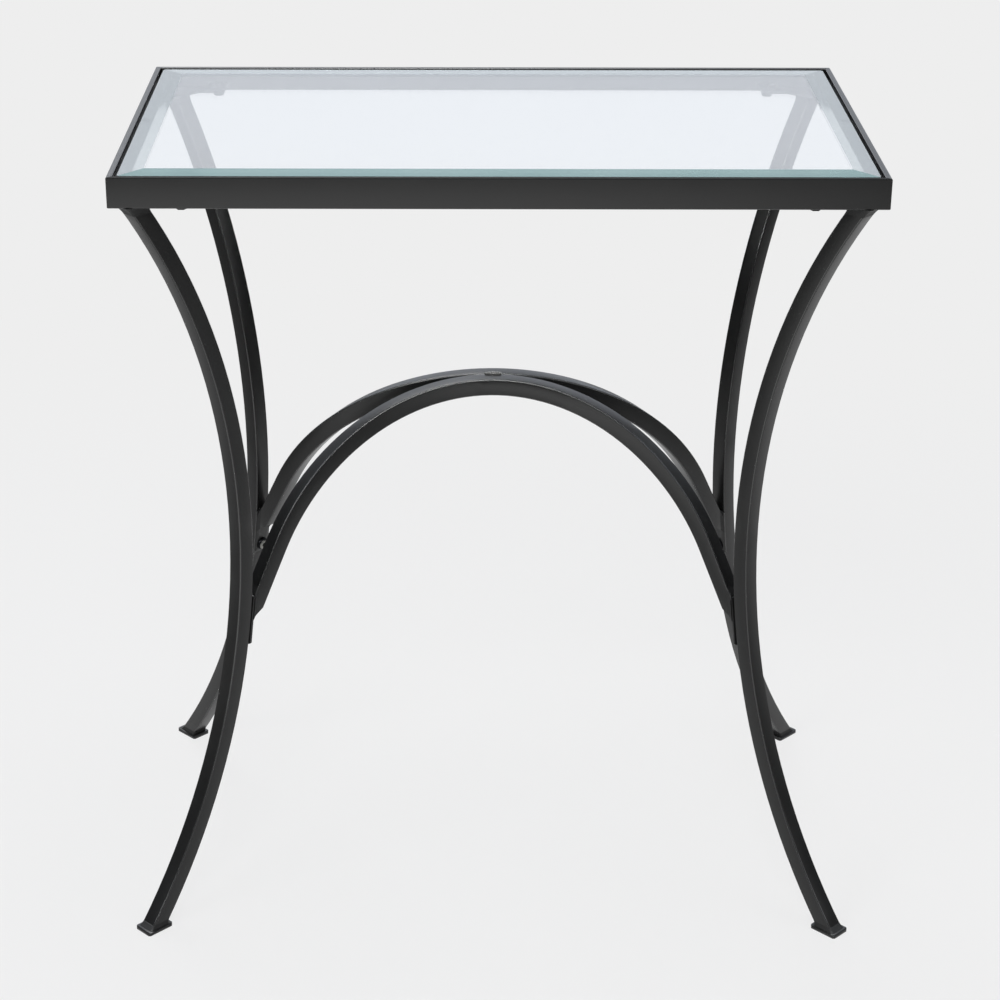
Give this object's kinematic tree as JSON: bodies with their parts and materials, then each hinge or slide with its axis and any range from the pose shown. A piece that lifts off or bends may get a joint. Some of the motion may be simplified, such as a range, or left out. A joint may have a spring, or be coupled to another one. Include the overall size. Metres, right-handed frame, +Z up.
{
  "type": "side table",
  "caption": "Rectangular side table: bevelled glass top lying in a mitred bar frame, on bowed square-tube legs tied together by crossed round arches.",
  "frame": {"origin": "on the floor, under the middle of the table top", "axes": "+X to the right along the top's length as seen from the front, +Y away from the front, +Z up"},
  "size_m": [0.6272, 0.3852, 0.686],
  "materials": {
    "painted_steel": "satin black powder coat",
    "bevelled_glass": "polished clear float glass with a ground and polished bevel",
    "clear_pad": "clear soft bumper",
    "black_fastener": "black oxide",
    "zinc_plated_steel": "zinc plated",
    "weld_metal": "painted weld bead, slightly rough"
  },
  "bodies": {
    "stand": {"front_rail": "painted_steel", "back_rail": "painted_steel", "left_rail": "painted_steel", "right_rail": "painted_steel", "front_ledge": "painted_steel", "back_ledge": "painted_steel", "left_ledge": "painted_steel", "right_ledge": "painted_steel", "glass_bumpers": "clear_pad", "front_left_leg_plate": "painted_steel", "front_right_leg_plate": "painted_steel", "back_left_leg_plate": "painted_steel", "back_right_leg_plate": "painted_steel", "frame_tabs": "painted_steel", "plate_screws": "black_fastener", "front_left_leg": "painted_steel", "front_right_leg": "painted_steel", "back_left_leg": "painted_steel", "back_right_leg": "painted_steel", "front_left_foot": "painted_steel", "front_right_foot": "painted_steel", "back_left_foot": "painted_steel", "back_right_foot": "painted_steel", "front_left_bracket": "painted_steel", "front_right_bracket": "painted_steel", "back_left_bracket": "painted_steel", "back_right_bracket": "painted_steel", "bracket_bolts": "black_fastener", "leg_inserts": "zinc_plated_steel", "back_arch": "painted_steel", "front_arch": "painted_steel", "crown_weld": "weld_metal"},
    "glass": {"glass_top": "bevelled_glass"}
  },
  "joints": [
    {"name": "glass_lift", "type": "slide", "parent": "stand", "child": "glass", "axis": [0, 0, 1], "range_m": [0, 0.05]}
  ]
}
